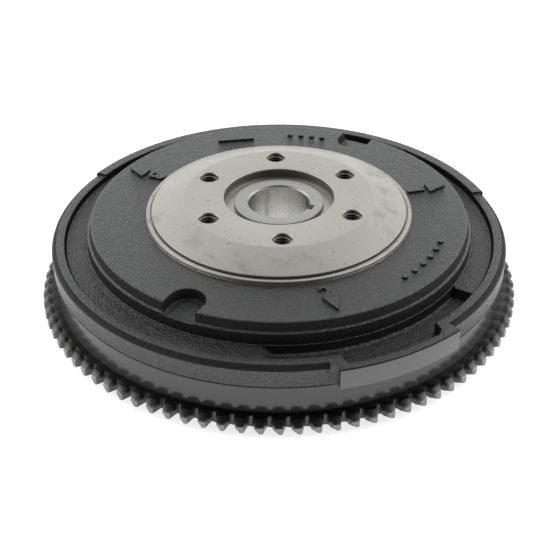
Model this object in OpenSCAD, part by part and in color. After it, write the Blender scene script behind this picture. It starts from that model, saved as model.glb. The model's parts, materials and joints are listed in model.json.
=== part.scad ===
// Engine flywheel: iron casting, shrunk-on starter ring gear and keyed hub bush.
// The axis is Z, the back face lies on z = 0 and the drive side faces +Z.

/* [Rim] */
// Outer radius of the cast band at the top of the rim
rim_r = 127.5; // [127.2:0.1:128.5]
// Radius of the turned band above the ring gear
band_r = 126.8; // [126:0.1:127]
// Inner radius of the rim at its top face
rim_inner_r = 120.3; // [119:0.1:121]
// Height of the rim's top face above the back face
rim_z = 37.5; // [36.5:0.1:38.5]
// Height of the line where the cast band meets the turned band
band_z = 24.4; // [22:0.1:27]
// Extra height of the raised arc on the far half of the rim
arc_rise = 1.1; // [0.5:0.1:2]
// Outer radius of the turned timing pad that stands out from the rim
pad_r = 132.8; // [130:0.1:134]
// Inner radius of the pocket behind the timing pad
pad_inner_r = 128.6; // [126:0.1:129]

/* [Groove and web] */
// Radius of the web's top edge
web_r = 105; // [103:0.5:106]
// Height of the web's cast top face
web_z = 47.7; // [46:0.1:48.5]
// Radius at the foot of the web's stepped wall
foot_r = 108; // [107.6:0.1:109]
// Height of the ledge part way down the web's wall
ledge_z = 42; // [41:0.1:43]
// Height of the groove's floor
floor_z = 35; // [34:0.1:35.5]
// Height of the groove's floor in the deep sector by the pad
deep_z = 30; // [28:0.1:32]
// Height of the floor of the two pockets in the web's edge
pocket_z = 41; // [38:0.1:41.5]

/* [Drive face] */
// Outer radius of the turned flange ring around the boss
flange_r = 74.2; // [73.5:0.1:76]
// Height of the flange ring
flange_z = 50; // [49.6:0.1:50.4]
// Radius of the flat drive face
boss_r = 53; // [50:0.5:58]
// Height of the drive face
boss_z = 57.3; // [56:0.1:60]
// Radius of the turned recess around the hub
recess_r = 30.7; // [29:0.1:33]
// Height of the recess floor
recess_z = 51.2; // [47:0.1:52]
// Pitch circle diameter of the tapped holes
bolt_pcd = 90; // [86:1:94]
// Number of tapped holes
bolt_count = 6; // [3:1:8]
// Tapping size radius of the M10 holes
bolt_hole_r = 4.25; // [3.4:0.05:4.3]
// Depth of the tapped holes
bolt_depth = 20; // [12:1:22]
// Angle of the first tapped hole
bolt_angle = 32.4; // [0:0.1:60]

/* [Hub bush] */
// Radius of the crankshaft bore
bore_r = 17; // [14:0.5:18]
// Outer radius of the hub bush
hub_r = 25; // [24:0.5:26]
// Height of the hub bush's top face
hub_z = 53.9; // [52:0.1:56]
// Width of the keyway
key_w = 5; // [4:0.5:8]
// Depth of the keyway beyond the bore
key_depth = 3.3; // [2:0.1:4]
// Direction of the keyway
key_angle = -21; // [-180:1:180]

/* [Ring gear] */
// Number of starter teeth
teeth = 89; // [80:1:96]
// Radius over the teeth
tip_r = 135.5; // [135:0.1:137]
// Radius at the bottom of the tooth gaps
root_r = 129.8; // [129:0.1:130.5]
// Radius of the ring gear's seat on the casting
seat_r = 123.5; // [122:0.1:125]
// Height of the ring gear's lower face
gear_z = 2.2; // [1:0.1:3]
// Width of the ring gear along the axis
gear_w = 6.8; // [6:0.1:8]

/* [Underside] */
// Inner radius of the cast hollow under the web
hollow_in_r = 44; // [40:1:48]
// Outer radius of the cast hollow at the back face
hollow_out_r = 101; // [98:1:104]
// Depth of the cast hollow
hollow_depth = 27; // [20:1:27]

/* [Hidden] */
$fn = 96;
TURN = 360;

// Rounded corners and edge breaks
rim_round = 3.5;
groove_round = 1.6;
edge_round = 1.2;
edge_break = 0.4;
cast_round = 4;
hollow_draft = 6;

// Boss and flange steps
cone_r = flange_r - 3.1;
cone_z = flange_z + 1.2;
gutter_w = 0.9;
gutter_z = flange_z - 0.5;
csk_w = 0.95;
csk_d = 0.9;

// Ledge, band and seat steps
ledge_r = foot_r - 0.6;
ledge_rise = 0.4;
ledge_slope_w = 1;
cast_edge_z = band_z + 0.9;
seat_edge = 0.8;
shoulder_z = gear_z + gear_w;

// Raised arc, timing pad and the bay behind the pad
arc_inset = 0.8;
arc_outset = 1.8;
arc_from = 17.4;
arc_to = 151.4;
pad_z = band_z + 1.2;
pad_edge = 0.8;
pad_root_r = band_r - 3;
pad_from = 282.8;
pad_to = 312.6;
bay_z = deep_z + 1;
bay_overlap = 2;
bay_from = 284.4;
bay_to = 310.4;

// Deep sector of the groove and pockets in the web's edge
deep_inset = 0.4;
deep_from = 268;
deep_to = 327;
pocket_angles = [61.5, 242];
pocket_half_w = 9.5;
pocket_centre_r = 97.5;

// Hub bush
hub_edge = 0.6;

// Raised timing marks
mark_angles = [15.5, 152.2, 287];
mark_base_r = 89;
mark_tip_r = 100.5;
mark_half_w = 4.7;
mark_rise = 1;
mark_sink = 0.5;
bar_l = 22.5;
bar_w = 2;
bar_r = 89.2;
bar_angle = 107.5;
bar_turn = -8.5;

// Ring gear
tip_half_deg = 0.52;
root_half_deg = 1.32;
tooth_phase = 270;
entry_w = 2.6;
entry_h = 3.4;
entry_start = 0.6;
entry_reach = 4;

// Points of an arc about (cx, cy), from angle a0 to a1
function arc(cx, cy, r, a0, a1, n = 8) =
    [for (i = [0 : n]) let (a = a0 + (a1 - a0) * i / n) [cx + r * cos(a), cy + r * sin(a)]];

// Half section of the casting, from the bush's seat round the drive side to the back
function casting_section() = concat(
    drive_face_section(), web_section(), rim_section(), hollow_section());

function drive_face_section() = [
    [hub_r, 0], [hub_r, recess_z], [recess_r, recess_z], [recess_r, boss_z - edge_break],
    [recess_r + edge_break, boss_z], [boss_r, boss_z], [cone_r, cone_z], [cone_r, gutter_z],
    [cone_r + gutter_w, gutter_z], [cone_r + gutter_w, flange_z],
    [flange_r - edge_break, flange_z], [flange_r, flange_z - edge_break], [flange_r, web_z]];

function web_section() = concat(
    arc(web_r - edge_round, web_z - edge_round, edge_round, 90, 0),
    [[ledge_r - ledge_slope_w, ledge_z + ledge_rise], [ledge_r, ledge_z], [foot_r, floor_z]],
    arc(rim_inner_r - groove_round, floor_z + groove_round, groove_round, -90, 0));

function rim_section() = concat(
    [[rim_inner_r, rim_z - edge_break], [rim_inner_r + edge_break, rim_z]],
    arc(rim_r - rim_round, rim_z - rim_round, rim_round, 90, 0),
    [[rim_r, cast_edge_z], [band_r, band_z], [band_r, shoulder_z], [seat_r, shoulder_z],
     [seat_r, seat_edge], [seat_r - seat_edge, 0]]);

function hollow_section() = concat(
    [[hollow_out_r, 0]],
    arc(hollow_out_r - hollow_draft - cast_round, hollow_depth - cast_round, cast_round, 0, 90),
    arc(hollow_in_r + hollow_draft / 2 + cast_round, hollow_depth - cast_round, cast_round,
        90, 180),
    [[hollow_in_r, 0]]);

// Part of a ring between two angles
module ring_sector(r0, r1, z0, z1, from, to) {
    rotate([0, 0, from])
        rotate_extrude(angle = to - from)
            translate([r0, z0]) square([r1 - r0, z1 - z0]);
}

// Timing pad: a short sector that stands out beyond the cast band
module timing_pad() {
    rotate([0, 0, pad_from])
        rotate_extrude(angle = pad_to - pad_from)
            polygon([[pad_root_r, pad_z], [pad_r, pad_z], [pad_r, rim_z - pad_edge],
                     [pad_r - pad_edge, rim_z], [pad_root_r, rim_z]]);
}

// U-shaped pocket in the edge of the web, open towards the groove
module web_pocket() {
    height = web_z - pocket_z + 1;
    translate([pocket_centre_r, 0, pocket_z]) {
        cylinder(r = pocket_half_w, h = height);
        translate([0, -pocket_half_w, 0])
            cube([foot_r - pocket_centre_r + 1, 2 * pocket_half_w, height]);
    }
}

module bolt_hole() {
    translate([bolt_pcd / 2, 0, boss_z]) {
        translate([0, 0, -bolt_depth]) cylinder(r = bolt_hole_r, h = bolt_depth + 1);
        translate([0, 0, -csk_d])
            cylinder(r1 = bolt_hole_r, r2 = bolt_hole_r + 2 * csk_w, h = 2 * csk_d);
    }
}

// Arrowhead that points outwards from a timing number
module timing_arrow() {
    translate([0, 0, web_z - mark_sink])
        linear_extrude(height = mark_rise + mark_sink)
            polygon([[mark_base_r, -mark_half_w], [mark_tip_r, 0], [mark_base_r, mark_half_w]]);
}

module datum_bar() {
    rotate([0, 0, bar_angle])
        translate([bar_r, 0, web_z - mark_sink])
            rotate([0, 0, bar_turn])
                translate([-bar_w / 2, -bar_l / 2, 0])
                    cube([bar_w, bar_l, mark_rise + mark_sink]);
}

module flywheel_casting() {
    color([0.13, 0.13, 0.14])
        difference() {
            union() {
                rotate_extrude() polygon(casting_section());
                timing_pad();
                ring_sector(rim_inner_r + arc_inset, rim_r - arc_outset, rim_z - 1,
                            rim_z + arc_rise, arc_from, arc_to);
                for (a = mark_angles) rotate([0, 0, a]) timing_arrow();
                datum_bar();
            }
            ring_sector(foot_r + deep_inset, rim_inner_r - deep_inset, deep_z,
                        floor_z + deep_inset, deep_from, deep_to);
            ring_sector(rim_inner_r - bay_overlap, pad_inner_r, bay_z, rim_z + 1,
                        bay_from, bay_to);
            for (a = pocket_angles) rotate([0, 0, a]) web_pocket();
            for (i = [0 : bolt_count - 1])
                rotate([0, 0, bolt_angle + i * TURN / bolt_count]) bolt_hole();
        }
}

// Outline of one tooth, between its root circle and its tip
function tooth(a) = [
    for (p = [[root_r, -root_half_deg], [tip_r, -tip_half_deg], [tip_r, tip_half_deg],
              [root_r, root_half_deg]])
        [p[0] * cos(a + p[1]), p[0] * sin(a + p[1])]];

// Wedge that relieves the lower corner of a tooth, where the starter pinion enters
module entry_wedge() {
    translate([root_r + entry_start, 0, gear_z])
        rotate([0, 90, 0])
            linear_extrude(height = tip_r - root_r)
                polygon([[0, entry_start], [1, entry_start], [1, -entry_reach],
                         [-entry_h, -entry_reach], [-entry_h, entry_start - entry_w]]);
}

module ring_gear() {
    pitch = TURN / teeth;
    color([0.10, 0.09, 0.09])
        difference() {
            translate([0, 0, gear_z])
                linear_extrude(height = gear_w)
                    polygon([for (i = [0 : teeth - 1]) each tooth(tooth_phase + i * pitch)]);
            translate([0, 0, gear_z - 1]) cylinder(r = seat_r, h = gear_w + 2);
            for (i = [0 : teeth - 1]) rotate([0, 0, tooth_phase + i * pitch]) entry_wedge();
        }
}

module hub_bush() {
    color([0.62, 0.61, 0.58])
        difference() {
            rotate_extrude()
                polygon([[bore_r, 0], [hub_r, 0], [hub_r, hub_z - edge_break],
                         [hub_r - edge_break, hub_z], [bore_r + hub_edge, hub_z],
                         [bore_r, hub_z - hub_edge]]);
            rotate([0, 0, key_angle])
                translate([0, -key_w / 2, -1])
                    cube([bore_r + key_depth, key_w, hub_z + 2]);
        }
}

flywheel_casting();
ring_gear();
hub_bush();
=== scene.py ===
"""Flywheel of a small engine: coated iron casting, starter ring gear and turned hub bush."""
import json
import math

import bmesh
import bpy
from mathutils import Matrix, Vector


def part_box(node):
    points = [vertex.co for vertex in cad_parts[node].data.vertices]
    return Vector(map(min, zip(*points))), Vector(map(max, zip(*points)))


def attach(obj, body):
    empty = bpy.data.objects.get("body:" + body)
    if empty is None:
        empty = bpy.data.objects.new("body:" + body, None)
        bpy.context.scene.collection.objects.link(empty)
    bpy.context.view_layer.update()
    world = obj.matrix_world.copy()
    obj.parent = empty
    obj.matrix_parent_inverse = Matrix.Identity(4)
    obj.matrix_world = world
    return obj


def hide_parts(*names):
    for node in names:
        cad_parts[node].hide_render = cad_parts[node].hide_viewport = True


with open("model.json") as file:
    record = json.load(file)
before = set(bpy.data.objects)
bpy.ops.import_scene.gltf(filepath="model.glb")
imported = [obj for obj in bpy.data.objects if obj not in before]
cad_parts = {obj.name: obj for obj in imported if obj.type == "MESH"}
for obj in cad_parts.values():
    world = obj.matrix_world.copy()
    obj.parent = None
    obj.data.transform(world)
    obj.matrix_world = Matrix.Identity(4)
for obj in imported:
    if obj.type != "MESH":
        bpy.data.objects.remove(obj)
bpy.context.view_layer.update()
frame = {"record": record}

# ---------------------------------------------------------------- sizes, in millimetres
MM = 0.001
TOUCHING = 0.002 * MM

mounts = {mount["name"]: mount for mount in frame["record"]["mounts"]}
casting_low, casting_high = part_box("flywheel_casting")
gear_low, gear_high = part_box("ring_gear")
hub_low, hub_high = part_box("hub_bush")

BOSS_Z = casting_high.z / MM
HUB_Z = hub_high.z / MM
HUB_R = hub_high.x / MM
BORE_R = mounts["crank_bore"]["dims"]["r_mm"]
BOLT_CIRCLE_R = mounts["drive_bolts"]["dims"]["pcd_mm"] / 2
BOLT_COUNT = mounts["drive_bolts"]["dims"]["count"]
TAP_R = mounts["drive_bolts"]["dims"]["hole_r_mm"]
GEAR_LOW = gear_low.z / MM
GEAR_HIGH = gear_high.z / MM

# Drive face and web
RECESS_R = 30.7
RECESS_Z = BOSS_Z - 6.1
FACE_R = 53.0
CONE_R = 71.1
CONE_Z = BOSS_Z - 6.1
GUTTER_R = CONE_R + 0.9
FLANGE_R = 74.2
FLANGE_Z = BOSS_Z - 7.3
WEB_R = 105.0
WEB_Z = BOSS_Z - 9.6
LEDGE_R = 107.4
LEDGE_Z = WEB_Z - 5.7
POCKET_FLOOR_Z = LEDGE_Z - 0.7

# Groove and rim
FOOT_R = 107.9
FOOT_Z = WEB_Z - 12.3
FLOOR_Z = WEB_Z - 13.0
DEEP_Z = FLOOR_Z - 4.7
RIM_INNER_R = 120.3
RIM_R = 127.5
RIM_Z = WEB_Z - 10.2
ARC_RISE = 1.1
BAND_R = 126.8
BAND_Z = RIM_Z - 13.1
BAND_DRAFT = 1.5
LIP = 1.3
PAD_R = 132.8
BAY_R = 128.6
SEAT_R = 123.5

# Underside hollow
HOLLOW_IN_R = 44.0
HOLLOW_OUT_R = 101.0
HOLLOW_Z = 27.0

# Angles round the wheel, in degrees
ARC_FROM, ARC_TO = 17.4, 151.4
DEEP_FROM, DEEP_TO = 268.0, 327.0
PAD_FROM, PAD_TO = 282.8, 312.6
BAY_FROM, BAY_TO = 284.4, 310.4
POCKETS = (61.5, 242.0)
FIRST_BOLT = 32.4
KEY_ANGLE = -21.0
ARROWHEADS = (15.5, 152.2, 287.0)
FAR_STUDS = (73.0, 77.2, 81.4, 85.6)
SIDE_STUDS = (314.0, 319.0, 324.0, 329.0, 334.0, 339.0)


# ---------------------------------------------------------------- bench helpers
def nothing_selected():
    if bpy.context.mode != "OBJECT":
        bpy.ops.object.mode_set(mode="OBJECT")
    bpy.ops.object.select_all(action="DESELECT")


def take(piece):
    """Makes one piece the selected and active one."""
    nothing_selected()
    piece.select_set(True)
    bpy.context.view_layer.objects.active = piece
    return piece


def begin(name):
    """Names the primitive just added and opens it for editing, with its place in its mesh."""
    piece = bpy.context.active_object
    piece.name = name
    piece.data.name = name
    bpy.ops.object.transform_apply(location=True, rotation=True, scale=True)
    bpy.ops.object.mode_set(mode="EDIT")
    bpy.ops.mesh.select_mode(type="VERT")
    bpy.ops.mesh.select_all(action="SELECT")
    return piece


def finish_edit(piece):
    """Merges doubles, points the faces outwards and leaves edit mode."""
    bpy.ops.mesh.select_all(action="SELECT")
    bpy.ops.mesh.remove_doubles(threshold=TOUCHING)
    bpy.ops.mesh.normals_make_consistent(inside=False)
    bpy.ops.object.mode_set(mode="OBJECT")
    return piece


def pick(piece, kind, wanted):
    """Selects in edit mode the faces, edges or vertices for which wanted(item) is true."""
    bpy.ops.mesh.select_all(action="DESELECT")
    bpy.ops.mesh.select_mode(type=kind)
    mesh = bmesh.from_edit_mesh(piece.data)
    items = {"FACE": mesh.faces, "EDGE": mesh.edges, "VERT": mesh.verts}[kind]
    for item in items:
        if wanted(item):
            item.select_set(True)
    bmesh.update_edit_mesh(piece.data)


def rounded(corners, segments=6):
    """Outline points from corners given as (radius, height) or (radius, height, fillet)."""
    points = []
    count = len(corners)
    for index, corner in enumerate(corners):
        here = Vector(corner[:2])
        fillet = corner[2] if len(corner) == 3 else 0
        if not fillet:
            points.append(here)
            continue
        to_last = (Vector(corners[index - 1][:2]) - here).normalized()
        to_next = (Vector(corners[(index + 1) % count][:2]) - here).normalized()
        half = to_last.angle(to_next) / 2
        middle = here + (to_last + to_next).normalized() * (fillet / math.sin(half))
        first = here + to_last * (fillet / math.tan(half)) - middle
        sweep = first.angle_signed(here + to_next * (fillet / math.tan(half)) - middle)
        steps = max(2, round(segments * abs(sweep) / (math.pi / 2)))
        for step in range(steps + 1):
            points.append(middle + Matrix.Rotation(-sweep * step / steps, 2) @ first)
    return points


def drawn(name, points):
    """Draws a closed outline edge by edge from its first point, in metres, and stays in edit mode."""
    nothing_selected()
    bpy.ops.mesh.primitive_plane_add(size=MM, location=points[0])
    piece = begin(name)
    bpy.ops.mesh.merge(type="CENTER")
    for last, here in zip(points, points[1:] + points[:1]):
        bpy.ops.mesh.extrude_region_move(TRANSFORM_OT_translate={"value": here - last})
    bpy.ops.mesh.select_all(action="SELECT")
    return piece


def upright(outline):
    """Points of (radius, height), in millimetres, as places in the plane that is spun."""
    return [Vector((radius, 0, height)) * MM for radius, height in outline]


def turned(name, outline, start=0.0, stop=360.0, step=1.0):
    """Spins a closed outline of (radius, height) round the wheel's axis."""
    piece = drawn(name, upright(outline))
    if start:
        bpy.ops.transform.rotate(
            value=-math.radians(start), orient_axis="Z", center_override=(0, 0, 0))
    steps = max(3, round((stop - start) / step))
    bpy.ops.mesh.spin(
        steps=steps, angle=math.radians(start - stop), center=(0, 0, 0), axis=(0, 0, 1))
    bpy.ops.mesh.select_all(action="SELECT")
    bpy.ops.mesh.remove_doubles(threshold=TOUCHING)
    if stop - start < 360:
        bpy.ops.mesh.fill_holes(sides=0)
    return finish_edit(piece)


def spun_about(piece, angle):
    """Turns a finished piece about the wheel's axis, into its place in the mesh."""
    take(piece)
    piece.rotation_euler = (0, 0, math.radians(angle))
    bpy.ops.object.transform_apply(location=False, rotation=True, scale=False)
    return piece


def raised_ring(name, centre, sides, levels, reshape=None):
    """Extrudes a filled circle through levels of (radius, height), scaled about its centre."""
    nothing_selected()
    bpy.ops.mesh.primitive_circle_add(
        vertices=sides, radius=levels[0][0] * MM, fill_type="NGON", location=centre)
    piece = begin(name)
    if reshape:
        reshape(piece)
    bpy.ops.mesh.select_all(action="SELECT")
    last_r, last_z = levels[0]
    for radius, z in levels[1:]:
        bpy.ops.mesh.extrude_region_move(
            TRANSFORM_OT_translate={"value": (0, 0, (z - last_z) * MM)})
        ratio = radius / last_r
        bpy.ops.transform.resize(value=(ratio, ratio, 1), center_override=centre)
        last_r, last_z = radius, z
    return finish_edit(piece)


def joined(name, pieces):
    take(pieces[0])
    for piece in pieces[1:]:
        piece.select_set(True)
    bpy.ops.object.join()
    pieces[0].name = name
    pieces[0].data.name = name
    return pieces[0]


def cut_or_weld(piece, tool, operation):
    """Applies a Boolean of the tool to the piece and removes the tool."""
    take(piece)
    boolean = piece.modifiers.new("shape", "BOOLEAN")
    boolean.operation = operation
    boolean.solver = "EXACT"
    boolean.use_self = False
    boolean.object = tool
    bpy.ops.object.modifier_apply(modifier=boolean.name)
    bpy.data.objects.remove(tool)
    return piece


def smooth_by_angle(piece, degrees=16):
    take(piece)
    bpy.ops.object.shade_smooth_by_angle(angle=math.radians(degrees))
    return piece


def place(piece, slot_name, *stands_for):
    """Hands a finished piece to the frame."""
    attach(piece, "root")
    if stands_for:
        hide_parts(*stands_for)


def at_angle(radius, degrees, height=0.0):
    """A point of the wheel, in metres."""
    turn = math.radians(degrees)
    return Vector((radius * math.cos(turn), radius * math.sin(turn), height)) * MM


def on_station(degrees):
    """A test for the vertices that were spun to one angle round the wheel."""
    across = at_angle(1.0, degrees + 90).normalized()
    return lambda vertex: abs(vertex.co.dot(across)) < 0.01 * MM


# ---------------------------------------------------------------- casting
def casting_outline():
    return rounded([
        (HUB_R, 0),
        (HUB_R, RECESS_Z),
        (RECESS_R - 1.4, RECESS_Z),
        (RECESS_R - 1.1, RECESS_Z + 0.8, 0.3),
        (RECESS_R, RECESS_Z + 1.1, 0.3),
        (RECESS_R, BOSS_Z, 0.5),
        (FACE_R, BOSS_Z, 0.8),
        (CONE_R, CONE_Z, 0.3),
        (CONE_R, FLANGE_Z - 0.5),
        (GUTTER_R, FLANGE_Z - 0.5),
        (GUTTER_R, FLANGE_Z, 0.15),
        (FLANGE_R, FLANGE_Z, 0.45),
        (FLANGE_R, WEB_Z, 0.5),
        (WEB_R, WEB_Z, 1.4),
        (LEDGE_R - 1.3, LEDGE_Z + 0.5, 0.7),
        (LEDGE_R, LEDGE_Z, 0.5),
        (FOOT_R - 0.3, FOOT_Z, 0.6),
        (FOOT_R + 0.8, FOOT_Z, 0.3),
        (FOOT_R + 1.3, FLOOR_Z, 0.6),
        (RIM_INNER_R - 0.3, FLOOR_Z, 1.8),
        (RIM_INNER_R, RIM_Z, 0.6),
        (RIM_R, RIM_Z, 3.5),
        (RIM_R, BAND_Z + LIP),
        (RIM_R, BAND_Z + 0.2, 0.6),
        (BAND_R - BAND_DRAFT, BAND_Z - 0.3, 0.5),
        (BAND_R, GEAR_HIGH),
        (SEAT_R, GEAR_HIGH),
        (SEAT_R, 0, 0.8),
        (HOLLOW_OUT_R, 0, 2.0),
        (HOLLOW_OUT_R - 6, HOLLOW_Z, 4.0),
        (HOLLOW_IN_R + 3, HOLLOW_Z, 4.0),
        (HOLLOW_IN_R, 0, 1.5),
    ])


def raised_arc():
    """The far half of the rim, where the casting's top stands a little higher."""
    proud = 0.03
    top = RIM_Z + ARC_RISE
    outline = rounded([
        (RIM_INNER_R + proud, RIM_Z - 2.5),
        (RIM_INNER_R + proud, top, 0.5),
        (RIM_R + proud, top, 1.9),
        (RIM_R + proud, RIM_Z - 3.6),
        (RIM_R - 2, RIM_Z - 3.6),
    ])
    return turned("raised_arc", outline, ARC_FROM, ARC_TO)


def timing_pad():
    """Turned pad that stands out from the rim, with a hollow cast run-in at its first end."""
    run_in_r = 4.0
    run_in_deg = math.degrees(run_in_r / PAD_R)
    outline = rounded([
        (RIM_INNER_R + 2, BAND_Z + 1.2),
        (PAD_R, BAND_Z + 1.2, 0.5),
        (PAD_R, RIM_Z - 0.02, 1.0),
        (RIM_INNER_R + 2, RIM_Z - 0.02),
    ])
    pad = turned("timing_pad", outline, PAD_FROM - run_in_deg, PAD_TO)
    nothing_selected()
    bpy.ops.mesh.primitive_cylinder_add(
        vertices=48, radius=run_in_r * MM, depth=30 * MM,
        location=at_angle(RIM_R + run_in_r - 0.05, PAD_FROM - run_in_deg, RIM_Z))
    scoop = finish_edit(begin("scoop"))
    return cut_or_weld(pad, scoop, "DIFFERENCE")


def deep_floor():
    """Cutter for the deeper sector of the groove, whose ends lean outwards."""
    outline = rounded([
        (FOOT_R - 0.1, FLOOR_Z + 2.5),
        (FOOT_R + 0.4, DEEP_Z, 2.0),
        (RIM_INNER_R - 0.02, DEEP_Z, 1.7),
        (RIM_INNER_R - 0.02, FLOOR_Z + 2.2),
    ])
    floor = take(turned("deep_floor", outline, DEEP_FROM, DEEP_TO))
    bpy.ops.object.mode_set(mode="EDIT")
    for end, lean in ((DEEP_FROM, -4.0), (DEEP_TO, 2.0)):
        at_end = on_station(end)
        pick(floor, "VERT", lambda v: at_end(v) and v.co.z > (FLOOR_Z - 1.0) * MM)
        bpy.ops.transform.rotate(
            value=-math.radians(lean), orient_axis="Z", center_override=(0, 0, 0))
    return finish_edit(floor)


def pad_bay():
    """Cutter for the bay behind the pad, with rounded upright corners."""
    outline = rounded([
        (RIM_INNER_R - 1.5, DEEP_Z + 0.3),
        (BAY_R, DEEP_Z + 0.3, 1.5),
        (BAY_R, RIM_Z + 2),
        (RIM_INNER_R - 1.5, RIM_Z + 2),
    ])
    step = 0.5
    bay = take(turned("pad_bay", outline, BAY_FROM, BAY_TO, step))
    bpy.ops.object.mode_set(mode="EDIT")

    for end, inwards, corner_r in ((BAY_FROM, step, 3.6), (BAY_TO, -step, 7.0)):
        columns = int(math.degrees(corner_r / BAY_R) / step) + 1
        for column in range(columns):
            angle = end + inwards * column
            run = corner_r - math.radians(step * column) * BAY_R
            drop = corner_r - math.sqrt(corner_r ** 2 - run ** 2)
            in_column = on_station(angle)
            pick(bay, "VERT", lambda v: in_column(v)
                 and Vector(v.co[:2]).length > (BAY_R - 2) * MM)
            bpy.ops.transform.translate(value=-at_angle(drop, angle))
    return finish_edit(bay)


def web_pocket(angle):
    """Cutter for a U-shaped pocket in the web's edge, with walls that flare at the top."""
    half_w = 9.5
    centre_r = 97.5
    reach = 12.5
    foot = 1.6
    brow = 1.1
    arc = [math.radians(a) for a in (0, 22.5, 45, 67.5, 90)]
    levels = [(half_w - foot + foot * math.sin(a), POCKET_FLOOR_Z + foot * (1 - math.cos(a)))
              for a in arc]
    levels += [(half_w + brow * (1 - math.cos(a)), WEB_Z - brow + brow * math.sin(a))
               for a in arc]
    levels.append((half_w + brow * 1.5, WEB_Z + 1))
    centre = Vector((centre_r, 0, POCKET_FLOOR_Z)) * MM

    def stretch(piece):
        pick(piece, "VERT", lambda v: v.co.x > (centre_r + 0.3) * MM)
        bpy.ops.transform.translate(value=(reach * MM, 0, 0))

    return spun_about(raised_ring("web_pocket", centre, 40, levels, stretch), angle)


def bolt_hole(angle):
    """Cutter for one tapped hole, at the thread's outer radius, with its countersink."""
    thread_r = 5.0
    depth = 20.0
    levels = [(thread_r, BOSS_Z - depth), (thread_r, BOSS_Z - 0.7), (thread_r + 0.5, BOSS_Z - 0.2),
              (thread_r + 0.65, BOSS_Z), (thread_r + 1.2, BOSS_Z + 0.6)]
    centre = Vector((BOLT_CIRCLE_R, 0, BOSS_Z - depth)) * MM
    return spun_about(raised_ring("bolt_hole", centre, 48, levels), angle)


def bolt_angles():
    return [FIRST_BOLT + index * 360 / BOLT_COUNT for index in range(BOLT_COUNT)]


def flywheel_body():
    body = turned("flywheel_body", casting_outline())
    welds = joined("welds", [raised_arc(), timing_pad()])
    cut_or_weld(body, welds, "UNION")
    cut_or_weld(body, deep_floor(), "DIFFERENCE")
    cuts = [pad_bay()]
    cuts += [web_pocket(angle) for angle in POCKETS]
    cuts += [bolt_hole(angle) for angle in bolt_angles()]
    cut_or_weld(body, joined("cuts", cuts), "DIFFERENCE")
    return smooth_by_angle(body)


def tapped_threads():
    """The screw thread in each hole, as one closed coil a hole."""
    pitch = 1.5
    turns = 12
    tip, root = TAP_R, 5.08
    outline = [(root, 0.0), (root, pitch * 0.86), (tip, pitch * 0.5), (tip, pitch * 0.36)]
    steps_a_turn = 36
    coils = []
    for angle in bolt_angles():
        coil = finish_edit(drawn("thread", upright(outline)))
        screw = coil.modifiers.new("coil", "SCREW")
        screw.screw_offset = pitch * MM
        screw.iterations = turns
        screw.steps = steps_a_turn
        screw.render_steps = steps_a_turn
        screw.use_merge_vertices = False
        bpy.ops.object.modifier_apply(modifier=screw.name)
        bpy.ops.object.mode_set(mode="EDIT")
        bpy.ops.mesh.select_all(action="SELECT")
        bpy.ops.mesh.fill_holes(sides=0)
        finish_edit(coil)
        coil.location = at_angle(BOLT_CIRCLE_R, angle, BOSS_Z - pitch * (turns + 1) - 0.35)
        bpy.ops.object.transform_apply(location=True, rotation=True, scale=True)
        coils.append(coil)
    return smooth_by_angle(joined("tapped_threads", coils), 30)


# ---------------------------------------------------------------- raised marks
def arrowhead(angle):
    """Solid triangle that points outwards, with soft cast edges."""
    base_r, tip_r, half_w, rise, sink = 89.0, 100.5, 4.7, 1.3, 0.6
    nothing_selected()
    bpy.ops.mesh.primitive_circle_add(
        vertices=3, radius=half_w * MM, fill_type="NGON",
        location=Vector((base_r + 3, 0, WEB_Z - sink)) * MM)
    head = begin("arrowhead")
    corners = [(tip_r, 0), (base_r, half_w), (base_r, -half_w)]
    mesh = bmesh.from_edit_mesh(head.data)
    for vertex, corner in zip(mesh.verts, corners):
        vertex.co.x, vertex.co.y = corner[0] * MM, corner[1] * MM
    bmesh.update_edit_mesh(head.data)
    bpy.ops.mesh.select_all(action="SELECT")
    bpy.ops.mesh.extrude_region_move(
        TRANSFORM_OT_translate={"value": (0, 0, (rise + sink) * MM)})
    bpy.ops.mesh.select_all(action="SELECT")
    bpy.ops.mesh.normals_make_consistent(inside=False)
    pick(head, "EDGE", lambda e: max(v.co.z for v in e.verts) > (WEB_Z + rise / 2) * MM)
    bpy.ops.mesh.bevel(offset=0.35 * MM, segments=3)
    return spun_about(finish_edit(head), angle)


def datum_bar():
    """Raised bar on the far side of the web, slightly askew to the wheel's edge."""
    length, width, rise, sink = 22.5, 2.2, 1.2, 0.6
    nothing_selected()
    bpy.ops.mesh.primitive_cube_add(
        size=1, location=Vector((0, 0, WEB_Z + (rise - sink) / 2)) * MM,
        scale=Vector((width, length, rise + sink)) * MM)
    bar = begin("datum_bar")
    pick(bar, "EDGE", lambda e: max(v.co.z for v in e.verts) > WEB_Z * MM)
    bpy.ops.mesh.bevel(offset=0.45 * MM, segments=3)
    finish_edit(bar)
    take(bar)
    heading = 99.0
    bar.rotation_euler = (0, 0, math.radians(heading))
    bar.location = at_angle(89.2, 107.5)
    bpy.ops.object.transform_apply(location=True, rotation=True, scale=True)
    return bar


def timing_number(text, radius, angle, size=13.4):
    """A raised figure whose top points inwards to the hub."""
    nothing_selected()
    bpy.ops.object.text_add(location=(0, 0, 0))
    figure = bpy.context.active_object
    figure.data.body = text
    figure.data.size = size * MM
    figure.data.align_x = "CENTER"
    figure.data.align_y = "CENTER"
    figure.data.offset = 0.2 * MM
    figure.data.extrude = 0.9 * MM
    figure.data.bevel_depth = 0.3 * MM
    figure.data.bevel_resolution = 2
    figure.data.resolution_u = 5
    bpy.ops.object.convert(target="MESH")
    figure.rotation_euler = (0, 0, math.radians(angle + 90))
    figure.location = at_angle(radius, angle, WEB_Z - 0.1)
    bpy.ops.object.transform_apply(location=True, rotation=True, scale=True)
    bpy.ops.object.mode_set(mode="EDIT")
    return finish_edit(figure)


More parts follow.
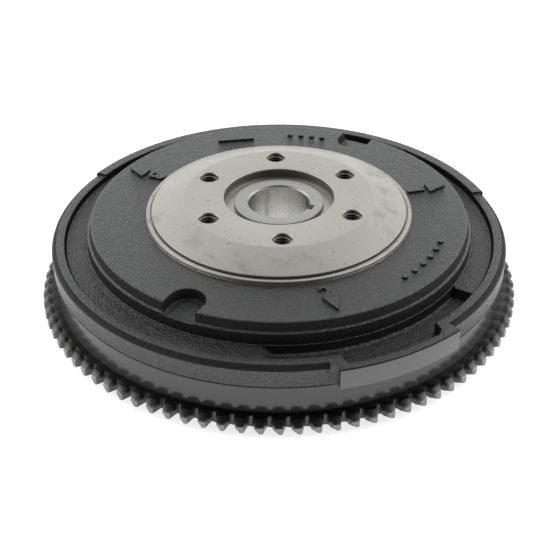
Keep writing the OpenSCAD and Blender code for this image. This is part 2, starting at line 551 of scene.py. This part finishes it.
def cast_stud(angle, radius):
    """A plain raised stud, one of a row."""
    nothing_selected()
    bpy.ops.mesh.primitive_cylinder_add(
        vertices=24, radius=1.7 * MM, depth=2.2 * MM, location=at_angle(radius, angle, WEB_Z))
    stud = begin("stud")
    pick(stud, "EDGE", lambda e: min(v.co.z for v in e.verts) > WEB_Z * MM)
    bpy.ops.mesh.bevel(offset=0.5 * MM, segments=3)
    return finish_edit(stud)


def timing_marks():
    marks = [arrowhead(angle) for angle in ARROWHEADS]
    marks.append(datum_bar())
    marks.append(timing_number("1", 82.5, 15.0))
    marks.append(timing_number("3", 82.5, 152.0))
    marks.append(timing_number("2", 84.3, 286.5))
    marks += [cast_stud(angle, 92.0) for angle in FAR_STUDS]
    marks += [cast_stud(angle, 93.0) for angle in SIDE_STUDS]
    return smooth_by_angle(joined("timing_marks", marks), 40)


# ---------------------------------------------------------------- hub bush
def hub():
    outline = rounded([
        (BORE_R, 0.8),
        (BORE_R + 0.8, 0),
        (HUB_R - 0.4, 0, 0.2),
        (HUB_R - 0.02, 0.6),
        (HUB_R - 0.02, HUB_Z, 0.45),
        (BORE_R + 0.9, HUB_Z, 0.1),
        (BORE_R, HUB_Z - 0.9, 0.1),
    ])
    bush = turned("hub", outline, step=2.5)
    key_w, key_r = 5.0, BORE_R + 3.3
    nothing_selected()
    bpy.ops.mesh.primitive_cube_add(
        size=1, location=Vector((key_r / 2, 0, HUB_Z / 2)) * MM,
        scale=Vector((key_r, key_w, HUB_Z + 4)) * MM)
    slot = begin("keyway")
    pick(slot, "EDGE", lambda e: min(v.co.x for v in e.verts) > (key_r - 1) * MM
         and abs(e.verts[0].co.z - e.verts[1].co.z) > 10 * MM)
    bpy.ops.mesh.bevel(offset=0.35 * MM, segments=3)
    spun_about(finish_edit(slot), KEY_ANGLE)
    cut_or_weld(bush, slot, "DIFFERENCE")
    return smooth_by_angle(bush, 20)


# ---------------------------------------------------------------- ring gear
TEETH = 89
TIP_R = 135.5
ROOT_R = 129.8
TOOTH_PHASE = 270.0
TOP_SLOPE_R = 3.0
TOP_SLOPE_Z = 2.0


def tooth_outline(half_pitch):
    """Plan of one pitch of the gear, as (radius, degrees) from its middle, root to root."""
    flank = [(ROOT_R, half_pitch), (ROOT_R + 0.05, 1.60), (ROOT_R + 0.5, 1.42),
             (ROOT_R + 2.3, 1.20), (TIP_R - 1.6, 0.98), (TIP_R - 0.25, 0.80), (TIP_R, 0.72)]
    left = [(r, -a) for r, a in flank]
    right = list(reversed(flank))
    return left + [(TIP_R, 0.0)] + right


def starter_gear():
    """Cuts one pitch of the gear to shape, and repeats it round the wheel."""
    half_pitch = 180 / TEETH
    corners = [at_angle(r, a, GEAR_LOW) for r, a in tooth_outline(half_pitch)]
    corners += [at_angle(SEAT_R, a, GEAR_LOW) for a in (half_pitch, 0.0, -half_pitch)]
    gear = drawn("starter_gear", corners)
    bpy.ops.mesh.remove_doubles(threshold=TOUCHING)
    bpy.ops.mesh.edge_face_add()
    bpy.ops.mesh.extrude_region_move(
        TRANSFORM_OT_translate={"value": (0, 0, (GEAR_HIGH - GEAR_LOW) * MM)})
    bpy.ops.mesh.select_all(action="SELECT")
    bpy.ops.mesh.normals_make_consistent(inside=False)
    entry = [at_angle(ROOT_R, -half_pitch, GEAR_LOW), at_angle(TIP_R, 0.1, GEAR_LOW - 0.1),
             at_angle(TIP_R, -0.8, GEAR_LOW + 3.4)]
    slope = (entry[1] - entry[0]).cross(entry[2] - entry[0]).normalized()
    if slope.z > 0:
        slope = -slope
    bpy.ops.mesh.bisect(plane_co=entry[0], plane_no=slope, use_fill=True, clear_outer=True)
    bpy.ops.mesh.select_all(action="SELECT")
    bpy.ops.mesh.bisect(
        plane_co=at_angle(TIP_R - TOP_SLOPE_R, 0.0, GEAR_HIGH),
        plane_no=(TOP_SLOPE_Z, 0, TOP_SLOPE_R), use_fill=True, clear_outer=True)
    limit = math.radians(half_pitch)

    def side_wall(face):
        angles = [math.atan2(v.co.y, v.co.x) for v in face.verts]
        return min(angles) > limit * 0.999 or max(angles) < -limit * 0.999

    pick(gear, "FACE", side_wall)
    bpy.ops.mesh.delete(type="FACE")

    def outer_edge(edge):
        sharp = len(edge.link_faces) == 2 and edge.calc_face_angle() > 0.6
        on_tooth = max(abs(math.atan2(v.co.y, v.co.x)) for v in edge.verts) < limit * 0.8
        return sharp and on_tooth and edge.verts[0].co.x > (ROOT_R - 1) * MM

    pick(gear, "EDGE", outer_edge)
    bpy.ops.mesh.bevel(offset=0.28 * MM, segments=2)
    bpy.ops.mesh.select_all(action="SELECT")
    bpy.ops.transform.rotate(
        value=-math.radians(TOOTH_PHASE), orient_axis="Z", center_override=(0, 0, 0))
    bpy.ops.mesh.spin(
        steps=TEETH, angle=math.radians(360), dupli=True, center=(0, 0, 0), axis=(0, 0, 1),
        use_auto_merge=False)
    finish_edit(gear)
    return smooth_by_angle(gear, 25)


# ---------------------------------------------------------------- materials
class Wire:
    """A shader socket on which sums can be written."""

    def __init__(self, recipe, socket):
        self.recipe = recipe
        self.socket = socket

    def maths(self, operation, *values):
        return self.recipe.node(
            "ShaderNodeMath", {"operation": operation}, dict(enumerate(values)))

    def __add__(self, other):
        return self.maths("ADD", self, other)

    __radd__ = __add__

    def __sub__(self, other):
        return self.maths("SUBTRACT", self, other)

    def __rsub__(self, other):
        return self.maths("SUBTRACT", other, self)

    def __mul__(self, other):
        return self.maths("MULTIPLY", self, other)

    __rmul__ = __mul__

    def __truediv__(self, other):
        return self.maths("DIVIDE", self, other)

    def power(self, exponent):
        return self.maths("POWER", self, exponent)

    def size(self):
        return self.maths("ABSOLUTE", self)

    def over(self, low, high):
        """0 below low, 1 above high, smooth between."""
        return self.recipe.node(
            "ShaderNodeMapRange", {"interpolation_type": "SMOOTHSTEP"},
            {"Value": self, "From Min": low, "From Max": high})

    def between(self, low, high, soft):
        """1 from low to high, and 0 further than soft outside them."""
        return self.over(low - soft, low) * (1 - self.over(high, high + soft))


class Recipe:
    """A node tree that nodes are added to one call at a time."""

    def __init__(self, tree):
        self.tree = tree

    def node(self, kind, settings=None, values=None, output=0):
        made = self.tree.nodes.new(kind)
        for key, value in (settings or {}).items():
            setattr(made, key, value)
        for key, value in (values or {}).items():
            if isinstance(value, Wire):
                self.tree.links.new(value.socket, made.inputs[key])
            else:
                made.inputs[key].default_value = value
        return Wire(self, made.outputs[output])

    def parts(self, vector):
        """The x, y and z of a vector."""
        return [self.node("ShaderNodeSeparateXYZ", None, {0: vector}, output=axis)
                for axis in "XYZ"]

    def mix(self, factor, first, second):
        return self.node(
            "ShaderNodeMix", {"data_type": "RGBA"}, {0: factor, 6: first, 7: second}, output=2)


class Paint(Recipe):
    """A material with one Principled shader."""

    def __init__(self, name, **constants):
        self.material = bpy.data.materials.new(name)
        self.material.use_nodes = True
        super().__init__(self.material.node_tree)
        self.tree.nodes.clear()
        self.shader = self.tree.nodes.new("ShaderNodeBsdfPrincipled")
        output = self.tree.nodes.new("ShaderNodeOutputMaterial")
        self.tree.links.new(self.shader.outputs[0], output.inputs[0])
        for socket, value in constants.items():
            self.shader.inputs[socket.replace("_", " ")].default_value = value

    def set(self, socket, wire):
        self.tree.links.new(wire.socket, self.shader.inputs[socket])

    def place(self):
        return self.node("ShaderNodeTexCoord", output="Object")

    def round_the_wheel(self):
        """Distance from the wheel's axis, and height, in millimetres."""
        x, y, z = self.parts(self.place())
        return (x * x + y * y).power(0.5) / MM, z / MM

    def noise(self, size_mm, detail=2.0, roughness=0.5):
        return self.node(
            "ShaderNodeTexNoise", None,
            {"Vector": self.place(), "Scale": 1 / (size_mm * MM), "Detail": detail,
             "Roughness": roughness})

    def lathe_rings(self, along_mm, width_mm, detail=3.0):
        return self.node(
            "ShaderNodeTexNoise", {"noise_dimensions": "1D"},
            {"W": along_mm, "Scale": 1 / width_mm, "Detail": detail, "Roughness": 0.6})

    def bump(self, height_mm):
        """Relief whose height is given in millimetres."""
        self.set("Normal", self.node(
            "ShaderNodeBump", None, {"Height": height_mm, "Distance": MM, "Strength": 1.0}))


def grey(value, tint=(1.0, 1.0, 1.0)):
    return (value * tint[0], value * tint[1], value * tint[2], 1.0)


def cast_coating():
    """Semi-gloss black coating over the orange-peel of a sand casting, rusty in the groove."""
    paint = Paint("cast_coating", Specular_IOR_Level=1.0)
    radius, height = paint.round_the_wheel()
    grain = paint.noise(1.35, 3.0, 0.6)
    lumps = paint.noise(4.5, 1.0)
    broad = paint.noise(26.0, 2.0)
    blots = paint.noise(6.0, 3.0, 0.6)
    in_groove = radius.between(111.0, 120.6, 3.0) * (1 - height.over(FLOOR_Z + 0.5, FLOOR_Z + 1.5))
    black = paint.mix(broad, grey(0.012), grey(0.020, (0.96, 1.0, 1.07)))
    rust = in_groove * blots.over(0.35, 0.65)
    paint.set("Base Color", paint.mix(rust * 0.7, black, grey(0.035, (1.0, 0.84, 0.70))))
    paint.set("Roughness", 0.17 + grain * 0.10 + broad * 0.06 + rust * 0.12)
    paint.bump(grain * 1.05 + lumps * 0.5)
    return paint.material


def shaded_wall_coating():
    """Painted shade: a darker, duller copy of the coating, for steep walls and faces that lie in
    shade.
    """
    paint = Paint("shaded_wall_coating", Specular_IOR_Level=0.2)
    grain = paint.noise(1.35, 2.5, 0.55)
    broad = paint.noise(20.0, 2.0)
    paint.set("Base Color", paint.mix(broad, grey(0.009), grey(0.018, (1.0, 0.97, 0.94))))
    paint.set("Roughness", 0.45 + grain * 0.2)
    paint.bump(grain * 0.85)
    return paint.material


def rim_corner_shade_coating():
    """Painted shade: ragged, dull black on the rim's inner wall and the fillet at its foot, where the
    groove's outer corner lies in shade.
    """
    paint = Paint("rim_corner_shade_coating", Specular_IOR_Level=0.15)
    grain = paint.noise(0.9, 3.0, 0.6)
    paint.set("Base Color", paint.mix(grain, grey(0.003), grey(0.012, (1.0, 0.92, 0.85))))
    paint.set("Roughness", 0.7 + grain * 0.3)
    paint.bump(grain * 0.6)
    return paint.material


def coated_band():
    """Turned rim under the same coating: smooth and glossy, with faint lathe rings."""
    paint = Paint("coated_band", Specular_IOR_Level=0.8)
    radius, height = paint.round_the_wheel()
    rings = paint.lathe_rings(height, 0.4)
    broad = paint.noise(22.0, 2.0)
    on_pad = radius.over(PAD_R - 1.0, PAD_R - 0.5)
    black = paint.mix(broad, grey(0.034), grey(0.044, (1.0, 0.99, 0.97)))
    paint.set("Base Color", paint.mix(on_pad, black, grey(0.095)))
    paint.set("Roughness", 0.13 + broad * 0.06 + rings * 0.06)
    paint.bump(rings * 0.004)
    return paint.material


def turned_iron():
    """Bare turned iron, warm grey, with fine rings, faint stains and tiny pits, and with painted
    shade in the recess round the hub and in the gutter by the cone.
    """
    paint = Paint("turned_iron", Metallic=1.0)
    radius, height = paint.round_the_wheel()
    rings = paint.lathe_rings(radius, 0.35, 4.0)
    clouds = paint.noise(30.0, 3.0, 0.6)
    stains = paint.noise(16.0, 5.0, 0.65).over(0.50, 0.78) * radius.over(52.0, 58.0)
    specks = paint.noise(1.7, 1.0).over(0.70, 0.75)
    pale = paint.mix(clouds, grey(0.47, (1.0, 0.975, 0.88)), grey(0.55, (1.0, 0.985, 0.90)))
    lined = paint.mix(rings.over(0.2, 0.8) * 0.25, pale, grey(0.40, (1.0, 0.97, 0.88)))
    # Painted shade: the recess wall round the hub and the gutter floor beside the cone are darkened
    # towards brown, standing in for the shade in these hollows.
    in_recess = (1 - radius.over(RECESS_R + 0.1, RECESS_R + 0.4)) * height.between(
        RECESS_Z + 0.9, BOSS_Z - 0.6, 0.3)
    in_gutter = radius.between(CONE_R, GUTTER_R, 0.15) * (1 - height.over(CONE_Z - 0.4, CONE_Z))
    shaded_hollows = paint.mix(in_recess * 0.75 + in_gutter * 0.6, lined, grey(0.12, (1.0, 0.84, 0.64)))
    stained = paint.mix(stains * 0.7, shaded_hollows, grey(0.34, (1.0, 0.94, 0.78)))
    paint.set("Base Color", paint.mix(specks * 0.6, stained, grey(0.16, (1.0, 0.88, 0.72))))
    paint.set("Roughness", 0.36 + rings * 0.08 + stains * 0.1)
    paint.bump(rings * 0.02 - specks * 0.05)
    return paint.material


def hub_steel():
    """Ground steel of the bush, cooler than the iron round it."""
    paint = Paint("hub_steel", Metallic=1.0)
    radius, height = paint.round_the_wheel()
    rings = paint.lathe_rings(radius + height, 0.3)
    smear = paint.noise(8.0, 3.0)
    paint.set("Base Color", paint.mix(smear, grey(0.36, (1, 0.99, 0.95)), grey(0.46, (1, 1, 0.98))))
    paint.set("Roughness", 0.24 + rings * 0.14 + smear * 0.08)
    paint.bump(rings * 0.01)
    return paint.material


def bore_steel():
    """Honed bore, the brightest surface of the wheel."""
    paint = Paint("bore_steel", Metallic=1.0)
    height = paint.round_the_wheel()[1]
    rings = paint.lathe_rings(height, 0.5)
    paint.set("Base Color", paint.mix(rings, grey(0.84, (1, 0.99, 0.96)), grey(0.92, (1, 1, 0.98))))
    paint.set("Roughness", 0.2 + rings * 0.12)
    return paint.material


def gear_steel():
    """Oiled, heat-darkened steel, with painted shade on the upper side and a painted highlight on the
    tips.
    """
    paint = Paint("gear_steel", Metallic=1.0)
    radius, height = paint.round_the_wheel()
    grain = paint.noise(0.8, 2.0)
    broad = paint.noise(6.0, 2.0)
    steel = paint.mix(broad, grey(0.07, (1.0, 0.99, 0.97)), grey(0.11, (0.98, 1.0, 1.02)))
    # Painted highlight: the tips are lightened, standing in for their reflection of the floor.
    on_tip = radius.over(TIP_R - 1.0, TIP_R - 0.1)
    tip_highlight = paint.mix(on_tip, steel, grey(0.24))
    # Painted shade: the upper side is darkened towards brown-black, standing in for its dark
    # reflection of the band.
    on_top = height.over(GEAR_HIGH - 1.6, GEAR_HIGH - 0.3)
    paint.set("Base Color", paint.mix(on_top * 0.7, tip_highlight, grey(0.03, (1.0, 0.92, 0.84))))
    paint.set("Roughness", 0.24 + grain * 0.16)
    paint.bump(grain * 0.05)
    return paint.material


def thread_iron():
    """Oily iron of the tapped holes."""
    paint = Paint("thread_iron", Metallic=1.0, Roughness=0.35)
    grain = paint.noise(0.8, 1.0)
    oily = grey(0.16, (1, 0.95, 0.85))
    paint.set("Base Color", paint.mix(grain, oily, grey(0.30, (1, 0.96, 0.9))))
    return paint.material


def floor_white():
    paint = Paint("floor_white", Roughness=0.9, Emission_Strength=0.72)
    soft = paint.noise(900.0)
    paint.set("Base Color", paint.mix(soft, grey(0.86), grey(0.88)))
    paint.shader.inputs["Emission Color"].default_value = grey(1.0)
    return paint.material


def give(piece, *materials):
    piece.data.materials.clear()
    for material in materials:
        piece.data.materials.append(material)


def finish_at(face):
    """Name of the finish that a face of the casting has, from its place and its direction."""
    near = 0.1
    steep = 0.6
    centre = face.center / MM
    radius = Vector(centre[:2]).length
    outwards = face.normal.dot(Vector((centre.x, centre.y, 0)) / radius)

    on_drive_side = radius < FLANGE_R + 0.06 and centre.z > WEB_Z + 0.3
    if (on_drive_side and radius > RECESS_R + 2 and abs(radius - BOLT_CIRCLE_R) < 5.4
            and centre.z < BOSS_Z - 0.25):
        return "thread"
    if on_drive_side or centre.z < 0.5 or (centre.z < HOLLOW_Z and radius < HUB_R + near):
        return "iron"

    past_draft = radius > BAND_R - BAND_DRAFT - near
    on_pad = radius > PAD_R - near and face.normal.z < 0.5
    if on_pad or (past_draft and radius < BAND_R + near and GEAR_HIGH < centre.z < BAND_Z - 0.5):
        return "band"
    # The edge finish is painted shade: the rim's inner wall and the fillet at its foot are painted
    # near black.
    if RIM_INNER_R - 1.2 < radius < RIM_INNER_R + near and FLOOR_Z < centre.z < RIM_Z - 0.5:
        return "edge"

    # The wall finish is painted shade: the lip under the rim, the brow and the groove walls facing
    # the gap get the darker, duller copy of the coating.
    on_lip = past_draft and radius < RIM_R + near and BAND_Z - 0.6 < centre.z < BAND_Z + LIP
    on_brow = radius > RIM_R - 3.0 and 0.25 < face.normal.z < 0.93 and centre.z > RIM_Z - 3.6
    in_groove = WEB_R - 20 < radius < BAY_R + 1 and centre.z > DEEP_Z - 1
    faces_gap = radius < FOOT_R + 2 or outwards < 0.2
    if on_lip or on_brow or (in_groove and faces_gap and abs(face.normal.z) < steep):
        return "wall"
    return "coating"


def finish_casting(body):
    """Coating all over, with bare iron where the drive side and the back are turned, and darker
    copies of the coating as painted shade on walls, in the groove's gap and on the rim's inner wall.
    """
    finishes = {"coating": cast_coating(), "band": coated_band(), "iron": turned_iron(),
                "thread": thread_iron(), "edge": rim_corner_shade_coating(), "wall": shaded_wall_coating()}
    give(body, *finishes.values())
    order = list(finishes)
    for face in body.data.polygons:
        face.material_index = order.index(finish_at(face))


# ---------------------------------------------------------------- studio
def camera():
    """Looks down on the front of the wheel, from about two wheel diameters away."""
    tilt = 55.47
    bpy.ops.object.camera_add(
        location=Vector((0.6, -528.2, 363.6)) * MM, rotation=(math.radians(tilt), 0, 0))
    eye = bpy.context.active_object
    eye.data.sensor_width = 36.0
    eye.data.lens = 70.2
    eye.data.clip_start = 0.01
    bpy.context.scene.camera = eye


def softbox(name, location, aim, size, power):
    """A rectangular area lamp that faces its aim."""
    bpy.ops.object.light_add(type="AREA", location=location)
    lamp = bpy.context.active_object
    lamp.name = name
    lamp.data.shape = "RECTANGLE"
    lamp.data.size, lamp.data.size_y = size
    lamp.data.energy = power
    direction = Vector(aim) - Vector(location)
    lamp.rotation_euler = direction.to_track_quat("-Z", "Y").to_euler()


def light_tent():
    """White walls behind and beside the wheel, fading to a dim room overhead and in front."""
    world = bpy.data.worlds.new("light_tent")
    bpy.context.scene.world = world
    world.use_nodes = True
    tent = Recipe(world.node_tree)
    x, y, z = tent.parts(tent.node("ShaderNodeTexCoord", output="Generated"))
    walls = (y + x.size() * 0.6 - z * 0.25).over(-0.7, 0.3)
    dim, bright = 0.07, 1.02
    strength = (dim + walls * (bright - dim)) * (1.25 - z.size() * 0.5)
    background = world.node_tree.nodes["Background"]
    background.inputs["Color"].default_value = grey(1.0, (0.985, 0.995, 1.0))
    world.node_tree.links.new(strength.socket, background.inputs["Strength"])


def studio():
    """White floor and light tent, with a softbox on each side."""
    under_wheel = -0.2 * MM
    bpy.ops.mesh.primitive_plane_add(size=8.0, location=(0, 0, under_wheel))
    floor = bpy.context.active_object
    floor.name = "floor"
    give(floor, floor_white())
    light_tent()
    for name, side in (("left_box", -1.5), ("right_box", 1.5)):
        softbox(name, (side, 0.1, 0.6), aim=(0, 0, 0), size=(1.6, 0.8), power=5)
    bpy.context.scene.view_settings.view_transform = "Standard"


# ---------------------------------------------------------------- making it
nothing_selected()
camera()
studio()

body = flywheel_body()
finish_casting(body)
place(body, "black_casting", "flywheel_casting")

threads = tapped_threads()
give(threads, bpy.data.materials["thread_iron"])
place(threads, "black_casting")

marks = timing_marks()
give(marks, bpy.data.materials["cast_coating"], bpy.data.materials["shaded_wall_coating"])
# Painted shade: the sides of the raised marks get the darker, duller wall copy of the coating, as
# dark shadow lines.
for face in marks.data.polygons:
    on_side = abs(face.normal.z) < 0.8
    face.material_index = int(on_side)
place(marks, "black_casting")

bush = hub()
give(bush, hub_steel(), bore_steel())
for face in bush.data.polygons:
    in_bore = Vector(face.center[:2]).length < (BORE_R + 0.02) * MM
    face.material_index = int(in_bore)
place(bush, "turned_steel", "hub_bush")

gear = starter_gear()
give(gear, gear_steel())
place(gear, "gear_steel", "ring_gear")
